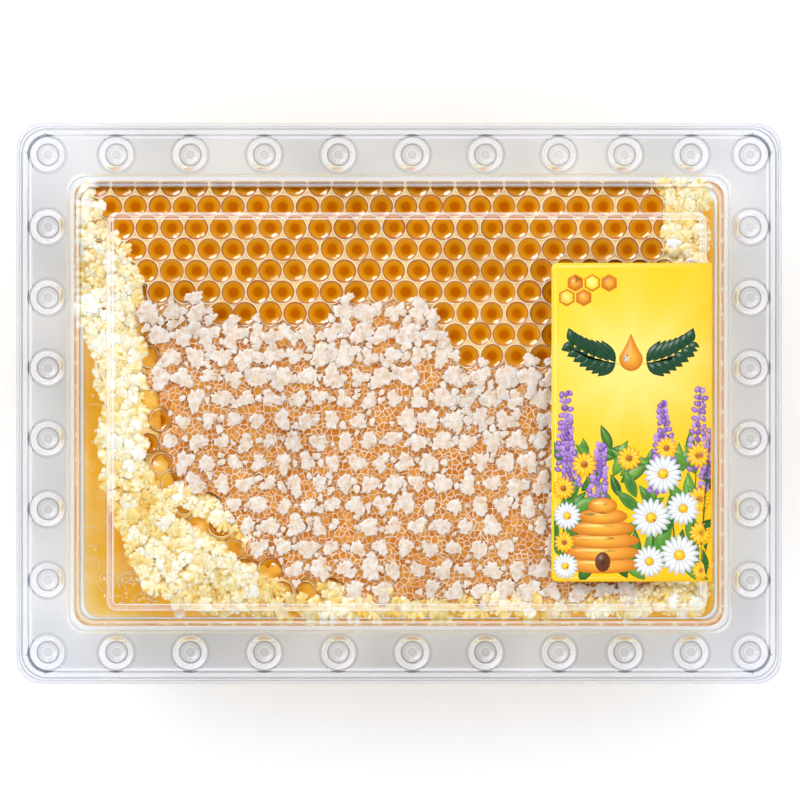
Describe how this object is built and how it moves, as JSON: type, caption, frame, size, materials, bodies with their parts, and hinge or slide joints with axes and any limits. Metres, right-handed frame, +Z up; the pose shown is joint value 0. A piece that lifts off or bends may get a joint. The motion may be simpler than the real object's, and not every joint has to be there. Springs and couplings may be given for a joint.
{
  "type": "cut honeycomb in a clear case",
  "caption": "Slab of cut honeycomb, part open cells and part white cappings, with drained honey round it, sealed in a clear two-part snap case with a plain yellow flower label",
  "frame": {"origin": "the middle of the case's footprint, on the surface that it stands on", "axes": "+X runs along the long side towards the label, +Y towards the far long side where the cells are open, +Z up"},
  "size_m": [0.168, 0.123, 0.0346],
  "materials": {
    "clear_plastic": "clear thermoformed sheet, smooth and glossy",
    "comb_wax": "white to pale yellow beeswax over amber honey, satin",
    "honey": "clear amber honey, wet gloss",
    "label_paper": "printed paper, satin"
  },
  "bodies": {
    "root": {"case_tray": "clear_plastic", "case_lid": "clear_plastic", "comb": "comb_wax", "honey_pool": "honey", "label": "label_paper"}
  },
  "joints": []
}
